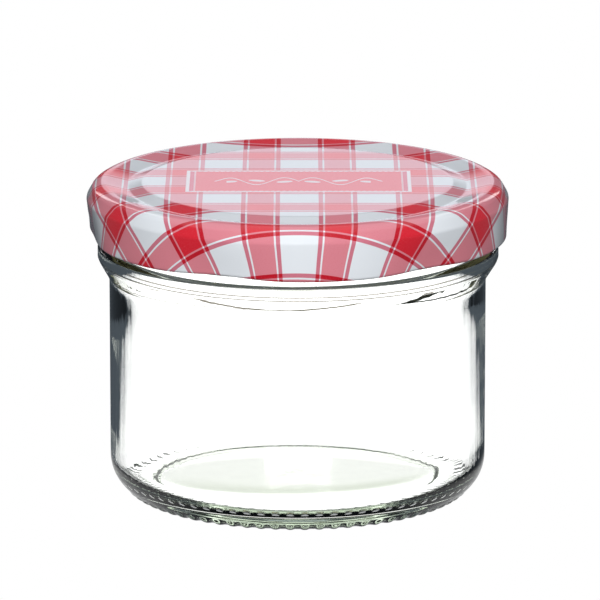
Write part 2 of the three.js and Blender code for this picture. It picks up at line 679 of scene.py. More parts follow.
@dataclass(frozen=True)
class Label:
    """The red oblong in the middle of the print, with a stitched edge and a plain vine.

    All sizes are in millimetres on the flat sheet.

    Attributes:
        outline: width of the light rim, which the scallop makes wavy, one wave to a stitch.
        end_bar: width of the light bar at each end, beside the row of dots.
        end_fill: width of the other red before it, with a soft end_edge.
        dots_share: half a dot's height, in pitches.
        vine_taper: length over which the vine grows flatter towards its ends.
        vine_light: how light the vine is, as dots_light is for the dots.
        leaf_rise: how far a leaf lies off the middle line.
        leaf_tilt: how far it leans for each millimetre up.
        leaf_reach: share of the vine's length that has leaves.
        leaf_turn: how softly the leaves change sides.
    """

    centre: tuple[float, float] = (0.2, 0.0)
    half_length: float = 22.8
    half_width: float = 9.6
    outline: float = 0.62
    end_bar: float = 0.75
    end_fill: float = 2.0
    end_edge: float = 0.4
    scallop: float = 0.3
    stitch: float = 1.15
    dots_inset: float = 1.75
    dots_width: float = 0.36
    dots_pitch: float = 0.95
    dots_share: float = 0.34
    dots_edge: float = 0.1
    dots_light: float = 0.8
    vine_reach: float = 17.0
    vine_wave: float = 11.3
    vine_height: float = 3.1
    vine_width: float = 0.36
    vine_edge: float = 0.2
    vine_taper: float = 9.0
    vine_end: float = 0.4
    vine_light: float = 0.92
    leaf_length: float = 1.5
    leaf_width: float = 0.85
    leaf_edge: float = 0.18
    leaf_rise: float = 0.5
    leaf_tilt: float = 0.8
    leaf_reach: float = 0.86
    leaf_end: float = 0.3
    leaf_turn: float = 0.1
    edge: float = 0.08
    fill: Colour = linear(222, 66, 80)
    fill_end: Colour = linear(205, 70, 100)
    white: Colour = linear(244, 236, 240)

    def lay(self, bench: Bench, print_: Value, across: Value, along: Value) -> Value:
        """Lays the label over the print.

        Args:
            bench: the material's bench.
            print_: the colour below it.
            across: distance to the right on the sheet.
            along: distance towards the back on the sheet.

        Returns:
            The colour with the label.
        """
        right = across - self.centre[0]
        back = along - self.centre[1]
        out_right = abs(right)
        out_back = abs(back)
        whole = out_right.under(self.half_length, self.edge) * out_back.under(
            self.half_width, self.edge
        )
        ends = out_right.over(self.half_length - self.end_fill, self.end_edge)
        colour = bench.mix(ends, self.fill, self.fill_end)
        scallop = abs((right * (np.pi / self.stitch)).sine()) * self.scallop
        rim = (out_back + scallop).over(self.half_width - self.outline, self.edge)
        bar = out_right.over(self.half_length - self.end_bar, self.edge)
        column = abs(out_right - (self.half_length - self.dots_inset))
        dot = abs((back / self.dots_pitch).fraction() - 0.5)
        dots = column.under(self.dots_width / 2, self.edge)
        dots = dots * dot.under(self.dots_share, self.dots_edge) * self.dots_light
        light = rim.greater(bar).greater(dots).greater(self.vine(right, back))
        return bench.mix(whole, print_, bench.mix(light, colour, self.white))

    def vine(self, right: Value, back: Value) -> Value:
        """Draws a sine line that tapers to both ends, with a leaf in each bend.

        The line is back = height * sine(turn * |right| / wave) * taper. A leaf is an ellipse in
        each half wave, on the side that the line bends away from.

        Args:
            right: distance to the right of the label's middle.
            back: distance towards the back from it.

        Returns:
            How light the ink is there, 0 off the vine.
        """
        out = abs(right)
        taper = out.under(self.vine_reach, self.vine_taper)
        angle = out * (TURN / self.vine_wave)
        line = angle.sine() * taper * self.vine_height
        stem = abs(back - line).under((self.vine_width + self.vine_edge) / 2, self.vine_edge)
        half_wave = self.vine_wave / 2
        cell = ((out / half_wave).fraction() - 0.5) * half_wave
        side = angle.sine().over(-self.leaf_turn / 2, self.leaf_turn) * 2 - 1
        rise = back + side * self.leaf_rise
        tilted = (cell + rise * self.leaf_tilt * side) / self.leaf_length
        raised = rise / self.leaf_width
        leaf = (tilted * tilted + raised * raised).root()
        leaves = leaf.under(1.0, self.leaf_edge)
        leaves = leaves * out.under(self.vine_reach * self.leaf_reach, self.leaf_end)
        reach = out.under(self.vine_reach, self.vine_end)
        return (stem * reach).greater(leaves) * self.vine_light


@dataclass(frozen=True)
class PrintedTinplate:
    """White enamel with the checked print, under a clear gloss varnish.

    Attributes:
        sheet_span: millimetres that the flat map is wide.
        sheet_centre: where the middle of the sheet lies on the map.
        painted_shade_from: how far the skirt turns away where a painted shade starts to darken it,
            and is full.
        painted_shade_share: how much of the print that painted shade takes away.
        painted_shade_tone: the painted shade's dark tone, for dark surroundings mirrored in the
            varnish.
        level: how far a face may tilt from upright to take the painted shade, from all to none.
        peel_scale: waves of the varnish to a millimetre.
        peel_strength: how strongly they show.
        peel_height: height of these waves.
        ink_roughness: roughness of the ink, and what the waves add to it.
        ink_gloss: how much the ink itself shines.
        coat_roughness: roughness of the varnish.
        coat_bend: how strongly the varnish refracts.
    """

    name: str = "printed_tinplate"
    sheet_span: float = 132.0
    sheet_centre: tuple[float, float] = (0.46, 0.54)
    painted_shade_from: tuple[float, float] = (0.62, 0.96)
    painted_shade_share: float = 0.9
    painted_shade_tone: Colour = linear(58, 54, 60)
    level: Span = (0.4, 0.8)
    peel_scale: float = 2.2
    peel_strength: float = 0.25
    peel_height: float = 0.004 * MM
    ink_roughness: Span = (0.32, 0.2)
    ink_gloss: float = 0.25
    coat_roughness: float = 0.05
    coat_bend: float = 1.5
    gingham: Gingham = field(default_factory=Gingham)
    label: Label = field(default_factory=Label)

    def material(self) -> bpy.types.Material:
        """Makes the material: print, painted shade where the skirt turns away, a matt ink layer and
        a gloss coat over all of it.

        Returns:
            The material.
        """
        material, bench = new_bench(self.name)
        map_ = bench.node("ShaderNodeUVMap", {"uv_map": FLAT_SHEET})
        centre = (*self.sheet_centre, 0.0)
        moved = bench.node("ShaderNodeVectorMath", {"operation": "SUBTRACT"}, {0: map_, 1: centre})
        place = bench.node(
            "ShaderNodeVectorMath", {"operation": "SCALE"}, {0: moved, "Scale": self.sheet_span}
        )
        across, along = place.part(0), place.part(1)
        colour = self.gingham.colour(bench, across, along, place)
        colour = self.label.lay(bench, colour, across, along)
        # Painted shade: the print darkens where the upright skirt turns away from the view, for dark
        # surroundings mirrored in the varnish.
        turned = bench.node("ShaderNodeLayerWeight", None, {"Blend": 0.5}, "Facing")
        upright = 1 - abs(bench.node("ShaderNodeNewGeometry", output="Normal").part(2)).rise(
            *self.level
        )
        edge = turned.rise(*self.painted_shade_from) * upright * self.painted_shade_share
        grain = bench.noise(place, self.peel_scale, 3.0)
        smooth, spread = self.ink_roughness
        bench.surface(
            {
                "Base Color": bench.mix(edge, colour, self.painted_shade_tone),
                "Roughness": grain * spread + smooth,
                "Specular IOR Level": self.ink_gloss,
                "Coat Weight": 1.0,
                "Coat Roughness": self.coat_roughness,
                "Coat IOR": self.coat_bend,
                "Normal": bench.relief(self.peel_strength, self.peel_height, grain),
            }
        )
        return material


@dataclass(frozen=True)
class InnerLacquer:
    """The pale gold food lacquer inside the lid, with a painted glow for the light that the glass
    lets in to it.

    Attributes:
        gold: colour of the lacquer.
        deep: its colour where it lies thicker.
        glow: painted light, a glow that stands in for the light that the glass lets in.
        cloud_scale: patches of thicker lacquer to a metre.
        metal: how much the metal below shows.
        roughness: roughness of the lacquer, and what the patches add to it.
        coat: weight and roughness of its clear top.
    """

    name: str = "inner_lacquer"
    gold: Colour = linear(214, 196, 142)
    deep: Colour = linear(190, 168, 110)
    glow: Colour = (0.22, 0.23, 0.13)
    cloud_scale: float = 90.0
    metal: float = 0.4
    roughness: Span = (0.26, 0.16)
    coat: Span = (0.6, 0.12)

    def material(self) -> bpy.types.Material:
        """Makes the material: gold lacquer that is a little uneven over bright metal.

        Returns:
            The material.
        """
        material, bench = new_bench(self.name)
        cloud = bench.noise(bench.place(), self.cloud_scale, 3.0)
        smooth, spread = self.roughness
        bench.surface(
            {
                "Base Color": bench.mix(cloud, self.gold, self.deep),
                "Metallic": self.metal,
                "Roughness": cloud * spread + smooth,
                # Painted light: the lacquer glows, for the light that the glass lets in.
                "Emission Color": self.glow,
                "Emission Strength": 1.0,
                "Coat Weight": self.coat[0],
                "Coat Roughness": self.coat[1],
            }
        )
        return material


@dataclass(frozen=True)
class BareTin:
    """The lugs, where the sheet is folded: varnished tin with fine draw marks."""

    name: str = "bare_tin"
    bright: Colour = linear(214, 216, 216)
    worn: Colour = linear(168, 170, 172)
    draw_stretch: tuple[float, float, float] = (1.0, 1.0, 0.12)
    mark_scale: float = 2600.0
    mark_strength: float = 0.3
    mark_height: float = 0.01 * MM
    patch_scale: float = 240.0
    metal: float = 0.9
    roughness: Span = (0.2, 0.22)

    def material(self) -> bpy.types.Material:
        """Makes the material: draw marks are noise stretched upwards.

        Returns:
            The material.
        """
        material, bench = new_bench(self.name)
        place = bench.place()
        sockets = {"Vector": place, "Scale": self.draw_stretch}
        drawn = bench.node("ShaderNodeMapping", None, sockets)
        marks = bench.noise(drawn, self.mark_scale)
        smooth, spread = self.roughness
        bench.surface(
            {
                "Base Color": bench.mix(
                    bench.noise(place, self.patch_scale), self.bright, self.worn
                ),
                "Metallic": self.metal,
                "Roughness": marks * spread + smooth,
                "Normal": bench.relief(self.mark_strength, self.mark_height, marks),
            }
        )
        return material


# The glass jar


@dataclass
class GlassJar:
    """The squat glass: push-up base with a ribbed heel, straight wall, bead and threaded neck.

    Sizes are in millimetres and carry the names that the frame's drawing gives them.

    Attributes:
        push_up_run: how far the push-up's step lies inside the bearing ring.
        floor_bend: share of the floor's radius and of its sink where it bends.
        bead_roundings: arcs of the bead's lower and upper edge.
        inner_roundings: arcs of the inner section's corners, from the mouth down to the floor.
        arc_step: longest step along an arc.
        spacings: longest steps of the line on the ribs, the thread, the seam, the rest of the
            outside, and the inside.
        bead_lean: how far the bead is shifted to the right.
        bead_fade: height over which that shift ends.
        seam_level: height of the mould's parting line.
        rib_columns: places of the columns round each rib, in pitches.
        rib_half_share: half a rib's width, in pitches.
        rib_in: radii where a rib comes out of the glass.
        rib_out: radii where it sinks back in.
        thread_span: heights between which the neck can carry the thread.
        ridge_margin: radians that a ridge's start is looked at before it begins.
        ridge_in: share of a ridge's length where it comes out of the glass.
        ridge_out: share where it sinks back in.
        ridge_fullness: power that rounds a ridge's section.
        wall_waves: count, shift, climb and depth of each wave of the inner wall.
        wave_in: heights where the waves start.
        wave_out: heights where they end.
    """

    finish: ClearGlass = field(default_factory=ClearGlass)
    body_radius: float = 38.3
    bearing_inner: float = 29.1
    push_up_height: float = 1.6
    push_up_step: float = 0.8
    push_up_run: float = 0.9
    floor_thickness: float = 3.4
    floor_sink: float = 1.4
    floor_bend: tuple[float, float] = (0.6, 0.5)
    inner_heel_radius: float = 4.2
    wall_low: float = 1.3
    wall_high: float = 2.9
    wall_thickens_from: float = 11.0
    wall_thickens_to: float = 38.0
    shoulder_foot: float = 44.9
    bead_radius: float = 40.75
    bead_bottom: float = 49.0
    bead_lean: float = 0.1
    bead_fade: float = 1.0
    bead_top: float = 51.5
    bead_top_rise: float = 0.4
    neck_radius: float = 38.9
    mouth_radius: float = 36.7
    mouth_foot: float = 50.5
    rim_top: float = 63.4
    push_up_rounding: float = 2.0
    bearing_rounding: float = 0.9
    heel_rounding: float = 7.59
    shoulder_rounding: float = 3.5
    bead_roundings: Span = (2.4, 0.5)
    neck_rounding: float = 0.2
    rim_rounding: float = 1.15
    inner_roundings: tuple[float, ...] = (8.0, 45.0, 30.0, 30.0)
    arc_step: float = 0.55
    spacings: tuple[float, ...] = (0.3, 0.4, 0.05, 3.0, 2.0)
    seam_level: float = 49.3
    seam_height: float = 0.05
    seam_width: float = 0.10
    seam_reach: float = 1.0
    rib_count: int = 72
    rib_height: float = 0.30
    rib_in: Span = (32.4, 34.3)
    rib_out: Span = (34.7, 36.0)
    rib_half_share: float = 0.26
    rib_columns: tuple[float, ...] = (-0.30, -0.18, -0.07, 0.07, 0.18, 0.30)
    ribbed_from: float = 31.4
    ribbed_below: float = 3.5
    lug_azimuths: tuple[float, ...] = (-22, 38, 98, 158, 218, 278)
    thread_span: Span = (52.2, 62.8)
    ridge_back: float = 10.0
    ridge_span: float = 44.0
    ridge_rise: float = 2.1
    ridge_half_height: float = 0.85
    ridge_depth: float = 1.5
    ridge_start: float = 55.82
    ridge_margin: float = 0.3
    ridge_in: Span = (-0.02, 0.1)
    ridge_out: Span = (0.9, 1.02)
    ridge_fullness: float = 0.7
    wall_waves: tuple[tuple[float, float, float, float], ...] = (
        (1, -1.57, 0.0, 0.28),
        (2, 0.7, 0.09, 0.07),
    )
    wave_in: Span = (6.0, 12.0)
    wave_out: Span = (34.0, 42.0)

    def outside(self) -> list[tuple[float, float, float]]:
        """Lists the outer section's corners, with their roundings, from the base to the rim.

        Returns:
            Radius, height and rounding of each corner.
        """
        low, high = self.bead_roundings
        step_radius = self.bearing_inner - self.push_up_run
        neck_foot = self.bead_top + self.bead_top_rise
        return [
            (0, self.push_up_height, 0),
            (step_radius, self.push_up_step, self.push_up_rounding),
            (self.bearing_inner, 0, self.bearing_rounding),
            (self.body_radius, 0, self.heel_rounding),
            (self.body_radius, self.shoulder_foot, self.shoulder_rounding),
            (self.bead_radius, self.bead_bottom, low),
            (self.bead_radius, self.bead_top, high),
            (self.neck_radius, neck_foot, self.neck_rounding),
            (self.neck_radius, self.rim_top, self.rim_rounding),
        ]

    def inside(self) -> list[tuple[float, float, float]]:
        """Lists the inner section's corners, with their roundings, from the rim to the floor.

        Returns:
            Radius, height and rounding of each corner.
        """
        mouth, high, foot, bend = self.inner_roundings
        floor_top = self.push_up_height + self.floor_thickness
        low = self.body_radius - self.wall_low
        reach, sink = self.floor_bend
        bend_radius = (low - self.inner_heel_radius) * reach
        return [
            (self.mouth_radius, self.rim_top, self.rim_rounding),
            (self.mouth_radius, self.mouth_foot, mouth),
            (self.body_radius - self.wall_high, self.wall_thickens_to, high),
            (low, self.wall_thickens_from, foot),
            (low, floor_top - self.floor_sink, self.inner_heel_radius),
            (bend_radius, floor_top - self.floor_sink * sink, bend),
            (0, floor_top, 0),
        ]

    def section(self) -> tuple[Array, int]:
        """Draws the whole section, with points close together where there is fine relief.

        Returns:
            The line, and the number of its points that belong to the outside.
        """
        corners = np.array(self.outside() + self.inside())
        line = rounded_line(corners[:, :2], corners[:, 2], self.arc_step)
        radius, height = ((line[1:] + line[:-1]) / 2).T
        outer = np.arange(len(height)) < np.argmax(line[:, 1])
        ribbed = outer & (radius > self.ribbed_from) & (height < self.ribbed_below)
        threaded = outer & (height > self.thread_span[0])
        seamed = outer & (abs(height - self.bead_bottom) < self.seam_reach)
        *outside, inside = self.spacings
        spacing = np.select([ribbed, threaded, seamed, outer], outside, inside)
        line = filled_line(line, spacing)
        return line, int(np.argmax(line[:, 1])) + 1

    def azimuths(self) -> Array:
        """Gives the columns: a few for each rib, closer together on the rib than between."""
        ribs = np.arange(self.rib_count)[:, None] + 0.5 + np.array(self.rib_columns)
        return (ribs * TURN / self.rib_count).ravel()

    def ribs(self, radius: Array, height: Array, azimuth: Array) -> Array:
        """Gives the ribs' relief over the heel: a round bar at each pitch, sunk at both ends.

        A bar is half a circle: the root of 1 less the square of the place across it.

        Args:
            radius: radius of each point.
            height: height of each point.
            azimuth: azimuth of each point.

        Returns:
            How far each point is moved outwards.
        """
        phase = (azimuth * self.rib_count / TURN) % 1 - 0.5
        bar = np.sqrt(np.clip(1 - (phase / self.rib_half_share) ** 2, 0, 1))
        run = smooth_rise(radius, *self.rib_in) * (1 - smooth_rise(radius, *self.rib_out))
        return self.rib_height * run * (height < self.heel_rounding) * bar

    def thread(self, height: Array, azimuth: Array) -> Array:
        """Gives the thread's relief: one ridge above each lug that climbs along the neck.

        A ridge's section is 1 less the square of the height over its middle, to a power, and its
        middle climbs evenly with the azimuth.

        Args:
            height: height of each point.
            azimuth: azimuth of each point.

        Returns:
            How far each point is moved outwards.
        """
        relief = np.zeros(np.broadcast(height, azimuth).shape)
        for lug in self.lug_azimuths:
            start = FRONT + np.radians(lug - self.ridge_back)
            turn = (azimuth - start + self.ridge_margin) % TURN - self.ridge_margin
            share = np.degrees(turn) / self.ridge_span
            middle = self.ridge_start + self.ridge_rise * np.clip(share, 0, 1)
            level = (height - middle) / self.ridge_half_height
            ends = smooth_rise(share, *self.ridge_in) * (1 - smooth_rise(share, *self.ridge_out))
            ridge = self.ridge_depth * ends * np.clip(1 - level**2, 0, 1) ** self.ridge_fullness
            relief = np.maximum(relief, ridge)
        return relief

    def waves(self, height: Array, azimuth: Array) -> Array:
        """Gives the uneven thickness of the wall, as a sum of long sines.

        Each is depth * sine(count * azimuth + shift + climb * height).

        Args:
            height: height of each point.
            azimuth: azimuth of each point.

        Returns:
            How far each point of the inner wall is moved.
        """
        total = np.zeros(np.broadcast(height, azimuth).shape)
        for count, shift, climb, depth in self.wall_waves:
            total = total + depth * np.sin(count * azimuth + shift + climb * height)
        ends = smooth_rise(height, *self.wave_in) * (1 - smooth_rise(height, *self.wave_out))
        return total * ends

    def build(self) -> bpy.types.Object:
        """Makes the glass: both sections turned, with relief along the sections' normals.

        Returns:
            The piece, fitted to its node.
        """
        line, outer = self.section()
        normal = sideways(line)
        radius, height = line[:, :1], line[:, 1:]
        azimuth = self.azimuths()
        is_outer = (np.arange(len(line)) < outer)[:, None]
        low, high = self.thread_span
        on_neck = is_outer & (height > low) & (height < high)
        relief = np.where(is_outer, self.ribs(radius, height, azimuth), 0)
        relief = relief + np.where(on_neck, self.thread(height, azimuth), 0)
        relief = relief + np.where(is_outer, 0, self.waves(height, azimuth))
        seam = np.exp(-(((height - self.seam_level) / self.seam_width) ** 2))
        relief = relief + np.where(is_outer, self.seam_height * seam, 0)
        on_bead = smooth_rise(height, self.shoulder_foot, self.bead_bottom)
        on_bead -= smooth_rise(height, self.bead_top, self.bead_top + self.bead_fade)
        relief = relief + self.bead_lean * on_bead * np.cos(azimuth) * is_outer
        radii = radius + relief * normal[:, :1]
        heights = np.maximum(height + relief * normal[:, 1:], 0)
        inner = slice(1, -1)
        piece = TurnedSurface(
            name="glass_jar",
            radius=radii[inner] * MM,
            height=heights[inner] * MM,
            azimuth=azimuth,
            poles=(line[0, 1] * MM, line[-1, 1] * MM),
            finishes=[self.finish.material()],
            finish_of_ring=np.zeros(len(line) - 2, dtype=int),
        ).build()
        fit(piece, Node.GLASS)
        return piece


# The twist-off lid


@dataclass
class TwistLid:
    """The pressed lid: panel, valley, raised ring, shoulder, skirt with six pinches, and curl.

    Sizes are in millimetres and carry the names that the frame's drawing gives them.

    Attributes:
        face_roundings: arcs of the face's corners, from the middle down to the skirt's foot.
        face_steps: longest steps of the face, on its arcs and between them.
        curl_turn: degrees round the curl from the skirt to its tucked-in end.
        curl_gap: height that the inner face keeps above the curl.
        pinch_lift: how far a pinch lifts the skirt's foot.
        pinch_start: height over the foot where a pinch starts to fade.
        pinch_foot: heights over the foot between which its lift fades.
        inner_centre: where the inner face lies on the flat map.
        inner_scale: how much smaller it lies there.
        lacquer_overlap: points of the curl that the lacquer covers.
        lug_grid: points round a lug and from end to end.
        lug_squareness: power that squares a lug, 0 for a box and 1 for a ball.
    """

    print_: PrintedTinplate = field(default_factory=PrintedTinplate)
    lacquer: InnerLacquer = field(default_factory=InnerLacquer)
    tin: BareTin = field(default_factory=BareTin)
    columns: int = 432
    radius: float = 42.83
    top: float = 64.5
    bottom: float = 53.5
    sheet: float = 0.3
    panel_radius: float = 31.2
    panel_drop: float = 0.22
    valley_radius: float = 34.6
    valley_drop: float = 1.05
    crest_radius: float = 39.7
    crest_rise: float = 0.16
    shoulder_radius: float = 41.6
    shoulder_drop: float = 0.95
    skirt_start_drop: float = 3.1
    face_roundings: tuple[float, ...] = (0, 5, 1.6, 3.2, 2, 1.6, 0)
    face_steps: tuple[float, float] = (0.16, 2.6)
    curl_radius: float = 0.72
    curl_turn: Span = (-14.0, -236.0)
    curl_points: int = 17
    curl_gap: float = 0.2
    lug_azimuths: tuple[float, ...] = (-22, 38, 98, 158, 218, 278)
    pinch: float = 1.1
    pinch_width: float = 12.0
    pinch_lift: float = 0.45
    pinch_start: float = 0.5
    pinch_foot: Span = (0.4, 4.5)
    inner_centre: tuple[float, float] = (0.86, 0.14)
    inner_scale: float = 0.3
    lacquer_overlap: int = 3
    lug_width: float = 9.0
    lug_reach: float = 39.9
    lug_thickness: float = 0.9
    lug_grid: tuple[int, int] = (28, 14)
    lug_squareness: float = 0.45

    def face(self) -> Array:
        """Draws the outer face from the middle of the panel to the foot of the skirt.

        Returns:
            Radius and height of each point.
        """
        corners = [
            (0, self.top - self.panel_drop),
            (self.panel_radius, self.top - self.panel_drop),
            (self.valley_radius, self.top - self.valley_drop),
            (self.crest_radius, self.top + self.crest_rise),
            (self.shoulder_radius, self.top - self.shoulder_drop),
            (self.radius, self.top - self.skirt_start_drop),
            (self.radius, self.bottom + self.curl_radius),
        ]
        arc_step, spacing = self.face_steps
        line = rounded_line(corners, self.face_roundings, arc_step)
        return filled_line(line, np.full(len(line) - 1, spacing))

    def curl(self) -> Array:
        """Draws the curled edge, a round bead that turns inwards under the skirt.

        Returns:
            Radius and height of each point.
        """
        turn = np.radians(np.linspace(*self.curl_turn, self.curl_points))
        middle = np.array([self.radius - self.curl_radius, self.bottom + self.curl_radius])
        return middle + self.curl_radius * np.stack([np.cos(turn), np.sin(turn)], axis=1)

    def section(self) -> tuple[Array, int, int]:
        """Joins the outer face, the curl and the inner face.

        Returns:
            The line, and how many points the outer face and the curl have.
        """
        face, curl = self.face(), self.curl()
        inner = (face + self.sheet * sideways(face))[::-1]
        inner = inner[inner[:, 1] > self.bottom + 2 * self.curl_radius + self.curl_gap]
        inner[-1, 0] = 0
        return np.concatenate([face, curl, inner]), len(face), len(curl)

    def pinches(self, azimuth: Array) -> Array:
        """Gives how strongly the skirt is pinched in at each azimuth, 1 at a lug.

        It falls off as exp(-(angle from the lug / width) squared).

        Args:
            azimuth: the angle of each column.

        Returns:
            The strength at each, from 0 to 1.
        """
        strength = np.zeros(azimuth.shape)
        for lug in self.lug_azimuths:
            away = np.degrees(turn_between(azimuth, FRONT + np.radians(lug)))
            strength = np.maximum(strength, np.exp(-((away / self.pinch_width) ** 2)))
        return strength

    def shell(self) -> bpy.types.Object:
        """Makes the sheet: the section turned, pinched at the lugs, and mapped flat.

        A point of the print lies as far from the middle of the flat sheet as it does along the
        pressed face, because the sheet is printed before it is pressed.

        Returns:
            The piece, fitted to its node.
        """
        line, face, curl = self.section()
        azimuth = np.linspace(0, TURN, self.columns, endpoint=False)
        height = line[:, 1:]
        start = self.bottom + self.pinch_start
        low = 1 - smooth_rise(height, start, self.top - self.skirt_start_drop)
        strength = self.pinches(azimuth) * low
        radii = line[:, :1] - self.pinch * strength
        foot = 1 - smooth_rise(height - self.bottom, *self.pinch_foot)
        heights = height + self.pinch_lift * self.pinches(azimuth) * foot
        flat = distance_along(line)[:, None]
        outer = (np.arange(len(line)) < face + curl)[:, None]
        outward = np.where(outer, flat, line[:, :1] * self.inner_scale)
        ring = np.stack([outward * np.cos(azimuth), outward * np.sin(azimuth)], axis=2)
        centres = np.where(outer, self.print_.sheet_centre, self.inner_centre)[:, None]
        sheet = centres + ring / self.print_.sheet_span
        finish = (np.arange(len(line)) >= face + curl - self.lacquer_overlap).astype(int)
        inner = slice(1, -1)
        piece = TurnedSurface(
            name="lid_shell",
            radius=(radii[::-1])[inner] * MM,
            height=(heights[::-1])[inner] * MM,
            azimuth=azimuth,
            poles=(line[-1, 1] * MM, line[0, 1] * MM),
            finishes=[self.print_.material(), self.lacquer.material()],
            finish_of_ring=finish[::-1][inner],
            sheet=(sheet[::-1])[inner],
            sheet_poles=(self.inner_centre, self.print_.sheet_centre),
        ).build()
        fit(piece, Node.LID)
        return piece

    def lugs(self) -> bpy.types.Object:
        """Makes the six lugs: rounded tabs that reach in under the thread.

        A tab is a sphere's grid pushed out towards a box by taking each coordinate's root, then
        bent round the axis.

        Returns:
            The piece, fitted to its node.
        """
        columns, rows = self.lug_grid
        polar = np.linspace(0, np.pi, rows + 1)[1:-1, None]
        around = np.linspace(0, TURN, columns, endpoint=False)[None]
        ball = np.stack(
            np.broadcast_arrays(
                np.sin(polar) * np.cos(around), np.sin(polar) * np.sin(around), np.cos(polar)
            ),
            axis=2,
        ).reshape(-1, 3)
        ball = np.concatenate([[[0, 0, 1]], ball, [[0, 0, -1]]])
        block = np.sign(ball) * np.abs(ball) ** self.lug_squareness
        outer = self.radius - self.curl_radius - self.pinch
        middle = (outer + self.lug_reach) / 2
        top = self.bottom + self.curl_radius + self.lug_thickness / 2
        radius = middle + block[:, 1] * (outer - self.lug_reach) / 2
        swing = block[:, 0] * self.lug_width / 2 / self.radius
        height = top - self.lug_thickness / 2 + block[:, 2] * self.lug_thickness / 2
        turn = FRONT + np.radians(self.lug_azimuths)[:, None] - swing
        points = np.stack(
            np.broadcast_arrays(radius * np.cos(turn), radius * np.sin(turn), height), axis=2
        )
        shift = (np.arange(len(self.lug_azimuths)) * len(ball))[:, None, None]
        faces = []
        for part in wrapped_faces(rows - 1, columns):
            faces += (turned_over(part) + shift).reshape(-1, part.shape[1]).tolist()
        mesh = bpy.data.meshes.new("lid_lugs")
        mesh.from_pydata((points.reshape(-1, 3) * MM).tolist(), [], faces)
        mesh.polygons.foreach_set("use_smooth", np.ones(len(mesh.polygons), dtype=bool))
        mesh.materials.append(self.tin.material())
        mesh.update()
        piece = linked("lid_lugs", mesh)
        fit(piece, Node.LID)
        return piece

    def build(self) -> list[bpy.types.Object]:
        """Makes the sheet and its lugs."""
        return [self.shell(), self.lugs()]


# The studio


@dataclass(frozen=True)
class StudioLight:
    """What a ray of each kind meets outside the jar.

    Attributes:
        seen: white, straight from the camera.
        through: light that comes through the glass.
        bounced: light that falls on matt surfaces.
        bounced_side: light that falls on matt surfaces from low down.
        card: the dark surround that the glass and the varnish mirror.
        backdrop: the bright backdrop that they mirror, low over the horizon.
        ceiling: the paler ceiling that they mirror.
        glint: the edge of the softbox over the camera and two narrow windows that they mirror.
        table: the lit part of the floor that they mirror, close to the jar.
        guided: light that the thick glass of the base leads on from mirror to mirror.
        shade: light through the glass from the table right below it.
        shade_edge: the darker rim of that shade, towards the camera.
        base: light that the push-up of the base mirrors from behind the jar.
        base_edge: the same from higher up, which the near side of the push-up mirrors.
    """

    seen: Colour = (1.0, 1.0, 1.0)
    through: Colour = (1.9, 1.9, 1.9)
    bounced: Colour = (0.44, 0.45, 0.47)
    bounced_side: Colour = (0.02, 0.02, 0.025)
    card: Colour = (0.070, 0.085, 0.100)
    backdrop: Colour = (0.94, 1.00, 1.10)
    ceiling: Colour = (0.80, 0.82, 0.86)
    glint: Colour = (2.4, 2.4, 2.4)
    table: Colour = (1.0, 1.0, 1.0)
    guided: Colour = (1.35, 1.40, 1.30)
    shade: Colour = (1.14, 1.16, 1.11)
    shade_edge: Colour = (0.86, 0.91, 0.80)
    base: Colour = (0.95, 0.97, 0.94)
    base_edge: Colour = (0.72, 0.79, 0.67)

    def by_ray(
        self,
        bench: Bench,
        mirrored: Union[Value, Colour],
        through: Union[Value, Colour],
        bounced: Union[Value, Colour],
        facing: Value,
        guided: Union[Value, Colour],
    ) -> Value:
        """Picks the light by the kind of ray: seen, bounced, mirrored or through the glass.

        A mirrored ray that was mirrored three times inside the glass, or that came through the
        wall and then into the base, takes the guided light.

        Args:
            bench: the floor's or the world's bench.
            mirrored: what a mirror shows there.
            through: what shows there through the glass.
            bounced: what falls from there on matt surfaces.
            facing: 1 where guided light comes out, before and behind the jar, 0 at its sides.
            guided: the guided light that comes from there.

        Returns:
            The colour of the light.
        """
        camera = bench.node("ShaderNodeLightPath", output="Is Camera Ray")
        mirrors = bench.node("ShaderNodeLightPath", output="Glossy Depth")
        bounces = bench.node("ShaderNodeLightPath", output="Diffuse Depth")
        skins = bench.node("ShaderNodeLightPath", output="Transmission Depth")
        led = (mirrors.reaches(3) * skins.reaches(1)).greater(skins.reaches(3))
        light = bench.mix(led * facing, mirrored, guided)
        light = bench.mix(mirrors.reaches(1), through, light)
        light = bench.mix(bounces.reaches(1), light, bounced)
        return bench.mix(camera, light, self.seen)


@dataclass(frozen=True)
class SkyPatch:
    """A patch of the surround, by the direction that it lies in.

    Each pair holds where an edge starts to fade and where it has faded.

    Attributes:
        low: its lower edge.
        high: its upper edge.
        outer: its edge away from the middle, to both sides.
        ahead: how far behind the jar it has to lie.
        inner: its edge towards the middle.
        towards: 1 for a patch behind the jar, -1 for one before it.
    """

    low: Span
    high: Span
    outer: Span
    ahead: Span
    inner: Span = (-2.0, -1.0)
    towards: float = 1.0

    def share(self, way: Value) -> Value:
        """Gives 1 inside the patch and 0 outside it, for each direction.

        Args:
            way: the direction.

        Returns:
            The share.
        """
        aside = abs(way.part(0)).between(self.inner, self.outer)
        lift = way.part(2).between(self.low, self.high)
        return aside * lift * (way.part(1) * self.towards).rise(*self.ahead)


